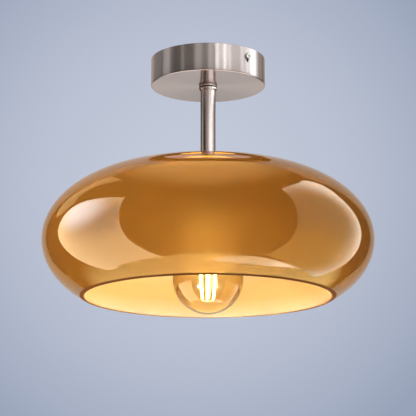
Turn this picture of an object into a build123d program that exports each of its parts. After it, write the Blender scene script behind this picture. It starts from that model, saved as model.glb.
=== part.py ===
"""Semi flush ceiling light: canopy, stem, blown glass shade and a globe bulb.

Millimetres. The origin is on the ceiling at the lamp's axis, +Z points up, so the
lamp hangs in negative Z. The bracket and the canopy's two side screws lie along X.
"""
from build123d import *
from math import atan2, cos, degrees, pi, sin, sqrt
import os

os.makedirs("parts", exist_ok=True)

# ---- driving dimensions -------------------------------------------------------
# fits
thread_gap = 0.05          # radial clearance of a threaded or pressed pair
slip_gap = 0.1             # radial clearance of a piece that slides over another
level_match = 0.01         # how near a height an edge lies to be picked by it

# canopy
canopy_radius = 66.0
canopy_height = 32.0
canopy_wall = 1.0
canopy_edge_round = 1.2
side_screw_drop = 10.7     # ceiling to the axis of the side screws
keyhole_reach = 6.9        # side screw axis to the foot of the keyhole's slot
keyhole_slot_width = 3.0

# ceiling bracket
bracket_thickness = 1.5
bracket_width = 22.0
bracket_play = 1.5         # tab's outer face to the canopy's inner wall
tab_drop = 18.0
bend_radius = 1.5
slot_spacing = 86.0
slot_length = 16.0
slot_width = 4.5
cable_hole_radius = 6.0
earth_screw_x = -20.0

# screws of thread M4
m4_radius = 2.0
m4_head_radius = 4.0
m4_head_height = 2.6
m4_cross_length = 4.4
m4_cross_width = 0.9
m4_cross_depth = 1.5
head_round_share = 0.55    # of a screw head's height
shank_chamfer_share = 0.3  # of a shank's radius
side_screw_proud = 1.5     # side screw's end inside the bracket's tab

# earth lug
lug_thickness = 0.8
lug_ring_radius = 4.0
lug_neck_width = 2.4
lug_barrel_radius = 1.9
lug_barrel_offset = 4.5    # earth screw to the start of the barrel
lug_barrel_length = 5.5

# terminal block
block_length = 28.0        # along Y
block_depth = 16.0         # along X
block_height = 12.0
block_x = 20.0
block_corner_round = 1.2
pole_drop_share = 0.58     # of the block's height, down to the clamps
block_peg_radius = 1.5
pole_pitch = 8.5
clamp_radius = 2.55
clamp_bore_radius = 1.4
clamp_length = 14.0
clamp_screw_radius = 1.2
clamp_screw_head_radius = 1.7
clamp_screw_head_height = 1.6
clamp_cross_length = 2.4
clamp_cross_width = 0.5
clamp_cross_depth = 0.7
clamp_screw_pitch = 7.0
clamp_screw_sink = 0.4     # screw head below the block's underside

# leads
lead_radius = 1.1
lead_spread = 1.4          # axis of each lead off the lamp's axis inside the stem
lead_end_inset = 2.0       # lead's end inside the clamp, past the block's middle
lead_turn_x = 5.0
lead_dip = 4.5             # from the pole down to the stem's axis
lead_part_drop = 1.0       # below the lower nipple, where the leads part
lead_part_run = 7.0        # height over which they part
lead_upper_bend = 6.5
lead_lower_bend = 8.0
earth_bend = 6.0
earth_turn_x = -1.0
earth_foot_x = -8.0
earth_lead_sink = 0.5      # earth lead's end inside the lug's barrel

# stem
stem_radius = 8.7
stem_wall = 1.2
stem_length = 100.0
bush_length = 14.0
nipple_radius = 5.0
nipple_bore_radius = 3.75
nut_across_flats = 14.0
nut_height = 3.0
washer_radius = 9.0
washer_thickness = 1.0
nipple_proud = 3.0         # nipple beyond the lock nut
nipple_short = 1.0         # nipple's end inside the bush
collar_radius = 10.35
collar_height = 5.8
collar_taper_height = 1.7
collar_edge_chamfer = 0.4
collar_foot_wall = 0.5     # collar's lower end beyond the stem

# glass shade: flat seat, crest, widest line and open end
shade_seat_radius = 31.0
shade_hole_radius = 20.3
shade_crest_radius = 60.0
shade_crest_rise = 17.3    # seat up to the crest
shade_radius = 188.8
shade_upper_height = 84.5  # crest down to the widest line
shade_lower_height = 65.0  # widest line down to the open end
shade_opening_radius = 142.4
shade_lower_centre = 75.0  # radius at the centre of the lower ellipse
shade_wall = 2.4
shade_lip_round = 0.7

# lampholder
holder_radius = 19.3
holder_length = 63.7
holder_cap_wall = 1.0
holder_cap_height = 14.5
holder_cap_round = 4.0
holder_flange_radius = 27.0
holder_flange_thickness = 1.2
holder_bore_radius = 14.6
holder_chamber_radius = 13.0
holder_lip_radius = 14.0
holder_lip_height = 2.0
holder_groove_depth = 0.6
holder_groove_pitch = 2.5
holder_groove_count = 15
holder_end_chamfer = 1.0
gasket_thickness = 1.5
ring_radius = 27.5
ring_height = 8.0
ring_notch_count = 24
ring_notch_radius = 1.1
contact_block_height = 12.0
contact_drop = 5.0         # contact block's underside to the bulb's tip
contact_thickness = 0.5
contact_width = 6.0
contact_foot_length = 5.0
contact_foot_reach = 9.5   # lamp's axis to the outer end of the centre contact
contact_spring_rise = 2.0  # lift of the centre contact's free end
contact_slope_share = 0.7  # of its thickness, along a sloping run
side_contact_width = 4.0
shell_wall = 1.1
shell_height = 19.0
post_size = 5.0
post_height = 8.0
post_y = 8.0
post_hole_depth = 4.0
post_screw_radius = 1.0
post_screw_head_radius = 1.6
post_screw_head_height = 1.2
post_cross_length = 2.2
post_cross_width = 0.4
post_cross_depth = 0.5

# bulb, a globe of 80 mm on a 27 mm screw cap
globe_radius = 40.0
globe_wall = 0.9
neck_radius = 12.7
neck_round = 18.0
neck_length = 4.3          # straight neck below the cap's rim
neck_top_gap = 0.3         # neck's end below the skirt's shoulder
tip_depth = 24.2           # bulb's tip above the lampholder's mouth
cap_length = 26.5
cap_shoulder = 1.0         # cap's top to the first turn of the thread
skirt_flare = 1.5          # last turn to the cylindrical skirt
thread_crest_radius = 13.1
thread_root_radius = 12.1
thread_pitch = 3.629
thread_turns = 4
cap_bore_radius = 11.4
skirt_radius = 13.3
tip_radius = 4.8
tip_height = 2.2
tip_round_share = 0.7      # of the tip's height
insulator_height = 5.8
insulator_shoulder = 3.3
insulator_ledge = 0.6      # insulator's top edge beyond the tip
driver_width = 15.0
driver_thickness = 1.2
driver_height = 14.0
capacitor_radius = 3.0
capacitor_sink = 0.1       # depth to which it is set in the board
mount_radius = 3.4
mount_end_rise = 22.8      # foot of the glass mount above the globe's centre
mount_flare_height = 1.5
mount_waist_radius = 5.44
mount_waist_drop = 4.5     # neck's end to the waist of the flare
mount_stem_drop = 12.0     # neck's end to the straight stem
filament_count = 6
filament_radius = 0.9
filament_top_radius = 10.3
filament_top_rise = 10.8   # filament's upper end above the globe's centre
filament_bottom_radius = 7.2
filament_bottom_drop = 22.7
filament_turn = 25.0       # degrees from +X to the first filament
wire_radius = 0.4
wire_tab = 2.0
upper_hub_drop = 3.0       # hub of the upper wires under the mount
lower_hub_drop = 4.0       # hub of the lower wires under the filaments

# ---- sizes worked out from them ----------------------------------------------
canopy_underside = -canopy_height
canopy_floor = canopy_underside + canopy_wall
bracket_underside = -bracket_thickness
bracket_reach = canopy_radius - canopy_wall - bracket_play
nipple_hole_radius = nipple_radius + thread_gap
stem_bore_radius = stem_radius - stem_wall
bush_radius = stem_bore_radius - thread_gap
upper_washer_top = canopy_floor + washer_thickness
upper_nut_top = upper_washer_top + nut_height
upper_nipple_top = upper_nut_top + nipple_proud
pole_z = bracket_underside - block_height * pole_drop_share
block_underside = bracket_underside - block_height
stem_bottom = canopy_underside - stem_length
cap_top_underside = stem_bottom - holder_flange_thickness
lower_nut_bottom = cap_top_underside - nut_height
lower_nipple_bottom = lower_nut_bottom - nipple_proud
holder_cap_bore = holder_radius + slip_gap
flange_underside = stem_bottom - holder_cap_height
shade_seat_z = flange_underside - gasket_thickness
shade_crest_z = shade_seat_z + shade_crest_rise
shade_equator_z = shade_crest_z - shade_upper_height
shade_opening_z = shade_equator_z - shade_lower_height
glass_underside = shade_seat_z - shade_wall
ring_top = glass_underside - gasket_thickness
ring_bottom = ring_top - ring_height
gasket_bore = holder_radius + 2 * slip_gap
holder_top = lower_nipple_bottom - slip_gap
holder_bottom = holder_top - holder_length
bulb_tip_z = holder_bottom + tip_depth
cap_rim_z = bulb_tip_z - cap_length
neck_bend_x = neck_radius + neck_round
neck_bend_z = cap_rim_z - neck_length
globe_centre_z = neck_bend_z - sqrt((globe_radius + neck_round) ** 2 - neck_bend_x**2)
filament_top_z = globe_centre_z + filament_top_rise
filament_bottom_z = globe_centre_z - filament_bottom_drop
mount_bottom_z = globe_centre_z + mount_end_rise
block_face_z = bulb_tip_z + contact_drop
block_top_z = block_face_z + contact_block_height
post_top_z = block_top_z + post_height
shell_bottom_z = holder_bottom + holder_lip_height
shell_top_z = shell_bottom_z + shell_height
shell_radius = holder_bore_radius - thread_gap
insulator_top_z = bulb_tip_z - tip_height
cap_top_z = insulator_top_z - insulator_shoulder
insulator_bottom_z = insulator_top_z - insulator_height


def save(piece, label):
    """Label a finished piece and write it under the same name."""
    piece.part.label = label
    export_step(piece.part, f"parts/{label}.step")


def pan_screw(shank_radius, shank_length, head_radius, head_height, cross_length, cross_width, depth):
    """A pan-head screw: its head stands on Z = 0 and its shank points down."""
    with BuildPart() as screw:
        with BuildSketch():
            Circle(head_radius)
        extrude(amount=head_height)
        fillet(screw.edges().sort_by(Axis.Z)[-1], head_height * head_round_share)
        with BuildSketch(Plane.XY.offset(head_height)):
            Rectangle(cross_length, cross_width)
            Rectangle(cross_width, cross_length)
        extrude(amount=-depth, mode=Mode.SUBTRACT)
        with BuildSketch():
            Circle(shank_radius)
        extrude(amount=-shank_length)
        chamfer(screw.edges().sort_by(Axis.Z)[0], shank_radius * shank_chamfer_share)
    return screw.part


def tube(top, bottom, outer_radius, bore_radius):
    """A plain tube about the lamp's axis."""
    with BuildPart() as sleeve:
        with BuildSketch(Plane.XY.offset(bottom)):
            Circle(outer_radius)
            Circle(bore_radius, mode=Mode.SUBTRACT)
        extrude(amount=top - bottom)
    return sleeve


def hex_nut(bottom):
    """A lock nut on the lamp's axis, standing on the given height."""
    with BuildPart() as nut:
        with BuildSketch(Plane.XY.offset(bottom)):
            RegularPolygon(nut_across_flats / 2, 6, major_radius=False)
            Circle(nipple_hole_radius, mode=Mode.SUBTRACT)
        extrude(amount=nut_height)
    return nut


def rod(start, end, radius):
    """A straight round rod between two points."""
    direction = Vector(*end) - Vector(*start)
    with BuildPart() as bar:
        with BuildSketch(Plane(origin=start, z_dir=direction)):
            Circle(radius)
        extrude(amount=direction.length)
    return bar.part


def lead(points, radii):
    """An insulated lead along straight runs joined by arcs."""
    with BuildPart() as wire:
        with BuildLine() as route:
            FilletPolyline(*points, radius=radii)
        with BuildSketch(Plane(origin=route.line @ 0, z_dir=route.line % 0)):
            Circle(lead_radius)
        sweep()
    return wire


# ---- ceiling bracket -----------------------------------------------------------
with BuildPart() as ceiling_bracket:
    with BuildSketch(Plane.XZ):
        Rectangle(2 * bracket_reach, tab_drop, align=(Align.CENTER, Align.MAX))
        with Locations((0, bracket_underside)):
            Rectangle(
                2 * (bracket_reach - bracket_thickness), tab_drop,
                align=(Align.CENTER, Align.MAX), mode=Mode.SUBTRACT,
            )
    extrude(amount=bracket_width / 2, both=True)
    bends = ceiling_bracket.edges().filter_by(Axis.Y).group_by(Axis.Z)
    fillet(bends[-1], bend_radius + bracket_thickness)
    fillet(ceiling_bracket.edges().filter_by(Axis.Y).filter_by(
        lambda edge: abs(edge.center().Z - bracket_underside) < level_match), bend_radius)
    with BuildSketch():
        with Locations((-slot_spacing / 2, 0), (slot_spacing / 2, 0)):
            SlotOverall(slot_length, slot_width)
        Circle(cable_hole_radius)
        with Locations((earth_screw_x, 0)):
            Circle(m4_radius + thread_gap)
        with Locations((block_x, 0)):
            Circle(block_peg_radius + thread_gap)
    extrude(amount=-bracket_thickness, mode=Mode.SUBTRACT)
    with BuildSketch(Plane.YZ):
        with Locations((0, -side_screw_drop)):
            Circle(m4_radius + thread_gap)
    extrude(amount=bracket_reach, both=True, mode=Mode.SUBTRACT)
save(ceiling_bracket, "ceiling_bracket")

# ---- canopy ----------------------------------------------------------------------
with BuildPart() as canopy_cup:
    with BuildSketch():
        Circle(canopy_radius)
    extrude(amount=-canopy_height)
    fillet(canopy_cup.edges().sort_by(Axis.Z)[0], canopy_edge_round)
    with BuildSketch():
        Circle(canopy_radius - canopy_wall)
    extrude(amount=canopy_floor, mode=Mode.SUBTRACT)
    with BuildSketch(Plane.XY.offset(canopy_underside)):
        Circle(nipple_hole_radius)
    extrude(amount=canopy_wall, mode=Mode.SUBTRACT)
    with BuildSketch(Plane.YZ):
        with Locations((0, -side_screw_drop)):
            Circle(m4_radius + slip_gap)
            Rectangle(keyhole_slot_width, keyhole_reach - keyhole_slot_width / 2,
                      align=(Align.CENTER, Align.MAX))
        with Locations((0, -side_screw_drop - keyhole_reach + keyhole_slot_width / 2)):
            Circle(keyhole_slot_width / 2)
    extrude(amount=2 * canopy_radius, both=True, mode=Mode.SUBTRACT)
save(canopy_cup, "canopy_cup")

side_screw = pan_screw(
    m4_radius, canopy_radius - bracket_reach + bracket_thickness + side_screw_proud,
    m4_head_radius, m4_head_height, m4_cross_length, m4_cross_width, m4_cross_depth,
)
with BuildPart() as canopy_screws:
    with Locations(
        Location((canopy_radius, 0, -side_screw_drop), (0, 90, 0)),
        Location((-canopy_radius, 0, -side_screw_drop), (0, -90, 0)),
    ):
        add(side_screw)
save(canopy_screws, "canopy_screws")

# ---- earth screw and lug -----------------------------------------------------------
barrel_bore_radius = lead_radius + thread_gap
barrel_start_x = earth_screw_x + lug_barrel_offset
barrel_end_x = barrel_start_x + lug_barrel_length
barrel_z = bracket_underside - lug_barrel_radius

with BuildPart() as earth_lug:
    with BuildSketch(Plane.XY.offset(bracket_underside)):
        with Locations((earth_screw_x, 0)):
            Circle(lug_ring_radius)
        with Locations((earth_screw_x, 0)):
            Rectangle(barrel_end_x - earth_screw_x, lug_neck_width, align=(Align.MIN, Align.CENTER))
        with Locations((earth_screw_x, 0)):
            Circle(m4_radius + slip_gap, mode=Mode.SUBTRACT)
    extrude(amount=-lug_thickness)
    with BuildSketch(Plane.YZ.offset(barrel_start_x)):
        with Locations((0, barrel_z)):
            Circle(lug_barrel_radius)
    extrude(amount=barrel_end_x - barrel_start_x)
    with BuildSketch(Plane.YZ.offset(barrel_start_x)):
        with Locations((0, barrel_z)):
            Circle(barrel_bore_radius)
    extrude(amount=barrel_end_x - barrel_start_x, mode=Mode.SUBTRACT)
save(earth_lug, "earth_lug")

earth_screw_shape = pan_screw(
    m4_radius, lug_thickness + bracket_thickness - slip_gap,
    m4_head_radius, m4_head_height, m4_cross_length, m4_cross_width, m4_cross_depth,
)
with BuildPart() as earth_screw:
    with Locations(Location((earth_screw_x, 0, bracket_underside - lug_thickness), (180, 0, 0))):
        add(earth_screw_shape)
save(earth_screw, "earth_screw")

# ---- terminal block ------------------------------------------------------------------
pole_places = [(y, pole_z) for y in (-pole_pitch, 0, pole_pitch)]
clamp_screw_places = [
    (block_x + side * clamp_screw_pitch / 2, y) for side in (-1, 1) for y, _ in pole_places
]
screw_head_foot = block_underside + clamp_screw_sink + clamp_screw_head_height

with BuildPart() as terminal_block:
    with BuildSketch(Plane.XY.offset(bracket_underside)):
        with Locations((block_x, 0)):
            Rectangle(block_depth, block_length)
    extrude(amount=-block_height)
    fillet(terminal_block.edges().filter_by(Axis.Z), block_corner_round)
    with BuildSketch(Plane.XY.offset(bracket_underside)):
        with Locations((block_x, 0)):
            Circle(block_peg_radius)
    extrude(amount=bracket_thickness - slip_gap)
    with BuildSketch(Plane.YZ.offset(block_x)):
        with Locations(*pole_places):
            Circle(clamp_radius + thread_gap)
    extrude(amount=block_depth / 2, both=True, mode=Mode.SUBTRACT)
    with BuildSketch(Plane.XY.offset(block_underside)):
        with Locations(*clamp_screw_places):
            Circle(clamp_screw_head_radius + slip_gap)
    extrude(amount=screw_head_foot - block_underside + slip_gap, mode=Mode.SUBTRACT)
    with BuildSketch(Plane.XY.offset(block_underside)):
        with Locations(*clamp_screw_places):
            Circle(clamp_screw_radius + slip_gap)
    extrude(amount=pole_z - block_underside, mode=Mode.SUBTRACT)
save(terminal_block, "terminal_block")

with BuildPart() as terminal_clamps:
    with BuildSketch(Plane.YZ.offset(block_x)):
        with Locations(*pole_places):
            Circle(clamp_radius)
        with Locations(*pole_places):
            Circle(clamp_bore_radius, mode=Mode.SUBTRACT)
    extrude(amount=clamp_length / 2, both=True)
    with BuildSketch(Plane.XY.offset(pole_z)):
        with Locations(*clamp_screw_places):
            Circle(clamp_screw_radius + thread_gap)
    extrude(amount=-clamp_radius, mode=Mode.SUBTRACT)
save(terminal_clamps, "terminal_clamps")

clamp_screw_shape = pan_screw(
    clamp_screw_radius, pole_z - lead_radius - slip_gap - screw_head_foot,
    clamp_screw_head_radius, clamp_screw_head_height,
    clamp_cross_length, clamp_cross_width, clamp_cross_depth,
)
with BuildPart() as terminal_screws:
    with Locations(*[Location((x, y, screw_head_foot), (180, 0, 0)) for x, y in clamp_screw_places]):
        add(clamp_screw_shape)
save(terminal_screws, "terminal_screws")

# ---- stem and its threaded joints ---------------------------------------------------
upper_washer = tube(upper_washer_top, canopy_floor, washer_radius, nipple_hole_radius)
save(upper_washer, "upper_washer")
upper_lock_nut = hex_nut(upper_washer_top)
save(upper_lock_nut, "upper_lock_nut")
upper_nipple = tube(
    upper_nipple_top, canopy_underside - bush_length + nipple_short, nipple_radius, nipple_bore_radius)
save(upper_nipple, "upper_nipple")
stem_upper_bush = tube(
    canopy_underside, canopy_underside - bush_length, bush_radius, nipple_hole_radius)
save(stem_upper_bush, "stem_upper_bush")
stem_tube = tube(canopy_underside, stem_bottom, stem_radius, stem_bore_radius)
save(stem_tube, "stem_tube")

with BuildPart() as stem_collar:
    with BuildSketch(Plane.XZ):
        with BuildLine():
            Polyline(
                (stem_radius + thread_gap, canopy_underside),
                (collar_radius - collar_edge_chamfer, canopy_underside),
                (collar_radius, canopy_underside - collar_edge_chamfer),
                (collar_radius, canopy_underside - collar_height + collar_taper_height),
                (stem_radius + collar_foot_wall, canopy_underside - collar_height),
                (stem_radius + thread_gap, canopy_underside - collar_height),
                close=True,
            )
        make_face()
    revolve(axis=Axis.Z)
save(stem_collar, "stem_collar")

stem_lower_bush = tube(stem_bottom + bush_length, stem_bottom, bush_radius, nipple_hole_radius)
save(stem_lower_bush, "stem_lower_bush")
lower_nipple = tube(
    stem_bottom + bush_length - nipple_short, lower_nipple_bottom, nipple_radius, nipple_bore_radius)
save(lower_nipple, "lower_nipple")
lower_lock_nut = hex_nut(lower_nut_bottom)
save(lower_lock_nut, "lower_lock_nut")

# ---- lampholder ------------------------------------------------------------------------
with BuildPart() as holder_cap:
    with BuildSketch(Plane.XY.offset(stem_bottom)):
        Circle(holder_cap_bore + holder_cap_wall)
    extrude(amount=flange_underside - stem_bottom)
    with BuildSketch(Plane.XY.offset(flange_underside)):
        Circle(holder_flange_radius)
    extrude(amount=holder_flange_thickness)
    with BuildSketch(Plane.XY.offset(flange_underside)):
        Circle(holder_cap_bore)
    extrude(amount=cap_top_underside - flange_underside, mode=Mode.SUBTRACT)
    inner_corner = holder_cap.edges().filter_by(
        lambda edge: abs(edge.center().Z - cap_top_underside) < level_match)
    fillet(inner_corner, holder_cap_round - holder_cap_wall)
    fillet(holder_cap.edges().group_by(Axis.Z)[-1], holder_cap_round)
    with BuildSketch(Plane.XY.offset(stem_bottom)):
        Circle(nipple_hole_radius)
    extrude(amount=-holder_flange_thickness, mode=Mode.SUBTRACT)
save(holder_cap, "holder_cap")

groove_places = [
    (holder_radius, ring_top - holder_groove_pitch * (index + 0.5)) for index in range(holder_groove_count)
]
with BuildPart() as holder_body:
    with BuildSketch(Plane.XY.offset(holder_top)):
        Circle(holder_radius)
    extrude(amount=holder_bottom - holder_top)
    chamfer(holder_body.edges().group_by(Axis.Z)[-1], holder_end_chamfer)
    chamfer(holder_body.edges().group_by(Axis.Z)[0], holder_end_chamfer)
    with BuildSketch(Plane.XY.offset(holder_top)):
        Circle(holder_chamber_radius)
    extrude(amount=block_top_z - holder_top, mode=Mode.SUBTRACT)
    with BuildSketch(Plane.XY.offset(block_top_z)):
        Circle(holder_bore_radius)
    extrude(amount=shell_bottom_z - block_top_z, mode=Mode.SUBTRACT)
    with BuildSketch(Plane.XY.offset(shell_bottom_z)):
        Circle(holder_lip_radius)
    extrude(amount=-holder_lip_height, mode=Mode.SUBTRACT)
    with BuildSketch(Plane.XZ):
        with Locations(*groove_places):
            Polygon(
                (0, holder_groove_depth), (-holder_groove_depth, 0), (0, -holder_groove_depth),
                (holder_groove_depth, -holder_groove_depth), (holder_groove_depth, holder_groove_depth),
                align=None,
            )
    revolve(axis=Axis.Z, mode=Mode.SUBTRACT)
save(holder_body, "holder_body")

post_places = [(0, -post_y), (0, post_y)]
with BuildPart() as contact_block:
    with BuildSketch(Plane.XY.offset(block_face_z)):
        Circle(holder_bore_radius - thread_gap)
    extrude(amount=contact_block_height)
save(contact_block, "contact_block")

post_hole_radius = lead_radius + slip_gap
post_screw_z = post_top_z - post_hole_depth / 2
with BuildPart() as holder_terminals:
    with BuildSketch(Plane.XY.offset(block_top_z)):
        with Locations(*post_places):
            Rectangle(post_size, post_size)
    extrude(amount=post_height)
    with BuildSketch(Plane.XY.offset(post_top_z)):
        with Locations(*post_places):
            Circle(post_hole_radius)
    extrude(amount=-post_hole_depth, mode=Mode.SUBTRACT)
    with BuildSketch(Plane.YZ.offset(post_size / 2)):
        with Locations((-post_y, post_screw_z), (post_y, post_screw_z)):
            Circle(post_screw_radius + thread_gap)
    extrude(amount=-post_size / 2, mode=Mode.SUBTRACT)
save(holder_terminals, "holder_terminals")

post_screw_shape = pan_screw(
    post_screw_radius, post_size / 2 - post_hole_radius - thread_gap,
    post_screw_head_radius, post_screw_head_height,
    post_cross_length, post_cross_width, post_cross_depth,
)
with BuildPart() as holder_terminal_screws:
    with Locations(*[Location((post_size / 2, y, post_screw_z), (0, 90, 0)) for _, y in post_places]):
        add(post_screw_shape)
save(holder_terminal_screws, "holder_terminal_screws")

contact_pad = contact_width / 2
contact_slope = contact_thickness * contact_slope_share
with BuildPart() as centre_contact:
    with BuildSketch(Plane.XZ):
        with BuildLine():
            Polyline(
                (-contact_foot_reach, block_face_z),
                (-contact_foot_reach + contact_foot_length, block_face_z),
                (-contact_pad, bulb_tip_z + contact_thickness),
                (contact_pad, bulb_tip_z + contact_thickness),
                (2 * contact_pad, bulb_tip_z + contact_spring_rise + contact_thickness),
                (2 * contact_pad, bulb_tip_z + contact_spring_rise),
                (contact_pad + contact_slope, bulb_tip_z),
                (-contact_pad - contact_slope, bulb_tip_z),
                (-contact_foot_reach + contact_foot_length - contact_slope, block_face_z - contact_thickness),
                (-contact_foot_reach, block_face_z - contact_thickness),
                close=True,
            )
        make_face()
    extrude(amount=contact_width / 2, both=True)
save(centre_contact, "centre_contact")

side_contact_x = shell_radius - shell_wall / 2
with BuildPart() as side_contact:
    with BuildSketch(Plane.XZ):
        with Locations((side_contact_x, block_face_z)):
            Rectangle(contact_thickness, block_face_z - shell_top_z, align=(Align.CENTER, Align.MAX))
        with Locations((side_contact_x, block_face_z)):
            Rectangle(contact_foot_length, contact_thickness, align=(Align.MAX, Align.MAX))
    extrude(amount=side_contact_width / 2, both=True)
save(side_contact, "side_contact")

holder_shell = tube(shell_top_z, shell_bottom_z, shell_radius, shell_radius - shell_wall)
save(holder_shell, "holder_shell")

upper_gasket = tube(flange_underside, shade_seat_z, holder_flange_radius, gasket_bore)
save(upper_gasket, "upper_gasket")
lower_gasket = tube(glass_underside, ring_top, holder_flange_radius, gasket_bore)
save(lower_gasket, "lower_gasket")

with BuildPart() as shade_ring:
    with BuildSketch(Plane.XY.offset(ring_bottom)):
        Circle(ring_radius)
        Circle(holder_radius + slip_gap, mode=Mode.SUBTRACT)
        with PolarLocations(ring_radius, ring_notch_count):
            Circle(ring_notch_radius, mode=Mode.SUBTRACT)
    extrude(amount=ring_height)
save(shade_ring, "shade_ring")

# ---- glass shade ----------------------------------------------------------------------
upper_reach = shade_radius - shade_crest_radius
upper_rise = shade_crest_z - shade_equator_z
lower_reach = shade_radius - shade_lower_centre
lower_share = (shade_opening_radius - shade_lower_centre) / lower_reach
lower_drop = (shade_equator_z - shade_opening_z) / sqrt(1 - lower_share**2)


def dish_arcs(crest_z, seat_z, bend):
    """The dished top: two arcs from the crest down to the flat seat."""
    run = shade_crest_radius - shade_seat_radius
    fall = crest_z - seat_z
    reach = (run**2 + fall**2) / (2 * fall)
    crest_bend = reach / 2 + bend
    seat_bend = reach / 2 - bend
    turn = atan2(run, reach - fall)
    meet = (shade_crest_radius - crest_bend * sin(turn), crest_z - crest_bend * (1 - cos(turn)))
    crest_mid = (
        shade_crest_radius - crest_bend * sin(turn / 2), crest_z - crest_bend * (1 - cos(turn / 2)))
    seat_mid = (shade_seat_radius + seat_bend * sin(turn / 2), seat_z + seat_bend * (1 - cos(turn / 2)))
    ThreePointArc((shade_crest_radius, crest_z), crest_mid, meet)
    ThreePointArc(meet, seat_mid, (shade_seat_radius, seat_z))


def shade_side(inset):
    """One face of the wall, from the open end up over the crest to the seat's hole."""
    reach = lower_reach - inset
    drop = lower_drop - inset
    end_height = shade_equator_z - shade_opening_z
    end_angle = -degrees(atan2(end_height / drop, sqrt(1 - (end_height / drop) ** 2)))
    EllipticalCenterArc(
        (shade_lower_centre, shade_equator_z), reach, drop, start_angle=end_angle, arc_size=-end_angle)
    EllipticalCenterArc(
        (shade_crest_radius, shade_equator_z), upper_reach - inset, upper_rise - inset,
        start_angle=0, arc_size=90)
    dish_arcs(shade_crest_z - inset, shade_seat_z - inset, -inset)
    Line((shade_seat_radius, shade_seat_z - inset), (shade_hole_radius, shade_seat_z - inset))
    return shade_lower_centre + reach * cos(end_angle * pi / 180)


with BuildPart() as glass_shade:
    with BuildSketch(Plane.XZ):
        with BuildLine():
            outer_end = shade_side(0)
            inner_end = shade_side(shade_wall)
            Line((outer_end, shade_opening_z), (inner_end, shade_opening_z))
            Line((shade_hole_radius, shade_seat_z), (shade_hole_radius, glass_underside))
        make_face()
    revolve(axis=Axis.Z)
    fillet(glass_shade.edges().group_by(Axis.Z)[0], shade_lip_round)
save(glass_shade, "glass_shade")

# ---- leads ---------------------------------------------------------------------------------
lead_end_x = block_x - lead_end_inset
lead_part_z = lower_nipple_bottom - lead_part_drop
lead_foot_z = post_top_z - post_hole_depth


def supply_lead(side):
    """A lead from its pole down through the stem to its terminal in the lampholder."""
    return lead(
        [
            (lead_end_x, side * pole_pitch, pole_z),
            (lead_turn_x, side * pole_pitch, pole_z),
            (0, side * lead_spread, pole_z - lead_dip),
            (0, side * lead_spread, lead_part_z),
            (0, side * post_y, lead_part_z - lead_part_run),
            (0, side * post_y, lead_foot_z),
        ],
        [lead_upper_bend, lead_upper_bend, lead_lower_bend, lead_lower_bend],
    )


live_lead = supply_lead(-1)
save(live_lead, "live_lead")
neutral_lead = supply_lead(1)
save(neutral_lead, "neutral_lead")
earth_lead = lead(
    [
        (lead_end_x, 0, pole_z),
        (earth_turn_x, 0, pole_z),
        (earth_foot_x, 0, barrel_z),
        (barrel_start_x + earth_lead_sink, 0, barrel_z),
    ],
    [earth_bend, earth_bend],
)
save(earth_lead, "earth_lead")

# ---- bulb --------------------------------------------------------------------------------------
with BuildPart() as bulb_tip:
    with BuildSketch(Plane.XY.offset(insulator_top_z)):
        Circle(tip_radius)
    extrude(amount=tip_height)
    fillet(bulb_tip.edges().group_by(Axis.Z)[-1], tip_height * tip_round_share)
save(bulb_tip, "bulb_tip")

with BuildPart() as bulb_insulator:
    with BuildSketch(Plane.XZ):
        with BuildLine():
            Polyline(
                (0, insulator_top_z),
                (tip_radius + insulator_ledge, insulator_top_z),
                (cap_bore_radius - thread_gap, cap_top_z),
                (cap_bore_radius - thread_gap, insulator_bottom_z),
                (0, insulator_bottom_z),
                close=True,
            )
        make_face()
    revolve(axis=Axis.Z)
save(bulb_insulator, "bulb_insulator")

thread_mean_radius = (thread_crest_radius + thread_root_radius) / 2
thread_start_z = cap_top_z - cap_shoulder
thread_end_z = thread_start_z - thread_turns * thread_pitch
skirt_top_z = thread_end_z - skirt_flare
skirt_bore_radius = neck_radius + thread_gap
with BuildPart() as bulb_cap:
    with BuildSketch(Plane.XZ):
        with BuildLine():
            Polyline(
                (cap_bore_radius, cap_top_z),
                (thread_root_radius, cap_top_z),
                (thread_mean_radius, thread_start_z),
            )
            for turn in range(thread_turns):
                top = thread_start_z - turn * thread_pitch
                middle = top - thread_pitch / 2
                foot = top - thread_pitch
                ThreePointArc(
                    (thread_mean_radius, top), (thread_crest_radius, (top + middle) / 2),
                    (thread_mean_radius, middle))
                ThreePointArc(
                    (thread_mean_radius, middle), (thread_root_radius, (middle + foot) / 2),
                    (thread_mean_radius, foot))
            Polyline(
                (thread_mean_radius, thread_end_z),
                (skirt_radius, skirt_top_z),
                (skirt_radius, cap_rim_z),
                (skirt_bore_radius, cap_rim_z),
                (skirt_bore_radius, skirt_top_z),
                (cap_bore_radius, thread_end_z),
                (cap_bore_radius, cap_top_z),
            )
        make_face()
    revolve(axis=Axis.Z)
save(bulb_cap, "bulb_cap")

with BuildPart() as bulb_driver:
    with BuildSketch(Plane.XY.offset(insulator_bottom_z)):
        Rectangle(driver_width, driver_thickness)
        with Locations((0, driver_thickness / 2 + capacitor_radius - capacitor_sink)):
            Circle(capacitor_radius)
    extrude(amount=-driver_height)
save(bulb_driver, "bulb_driver")

neck_angle = atan2(neck_bend_z - globe_centre_z, neck_bend_x)
neck_top_z = skirt_top_z - neck_top_gap


def globe_side(inset):
    """One face of the globe's wall from its lowest point up to the neck's end."""
    radius = globe_radius - inset
    middle = (neck_angle - pi / 2) / 2
    bend = neck_round + inset
    bend_middle = pi + neck_angle / 2
    on_globe = (radius * cos(neck_angle), globe_centre_z + radius * sin(neck_angle))
    ThreePointArc(
        (0, globe_centre_z - radius),
        (radius * cos(middle), globe_centre_z + radius * sin(middle)),
        on_globe)
    ThreePointArc(
        on_globe,
        (neck_bend_x + bend * cos(bend_middle), neck_bend_z + bend * sin(bend_middle)),
        (neck_radius - inset, neck_bend_z))
    Line((neck_radius - inset, neck_bend_z), (neck_radius - inset, neck_top_z))


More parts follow.
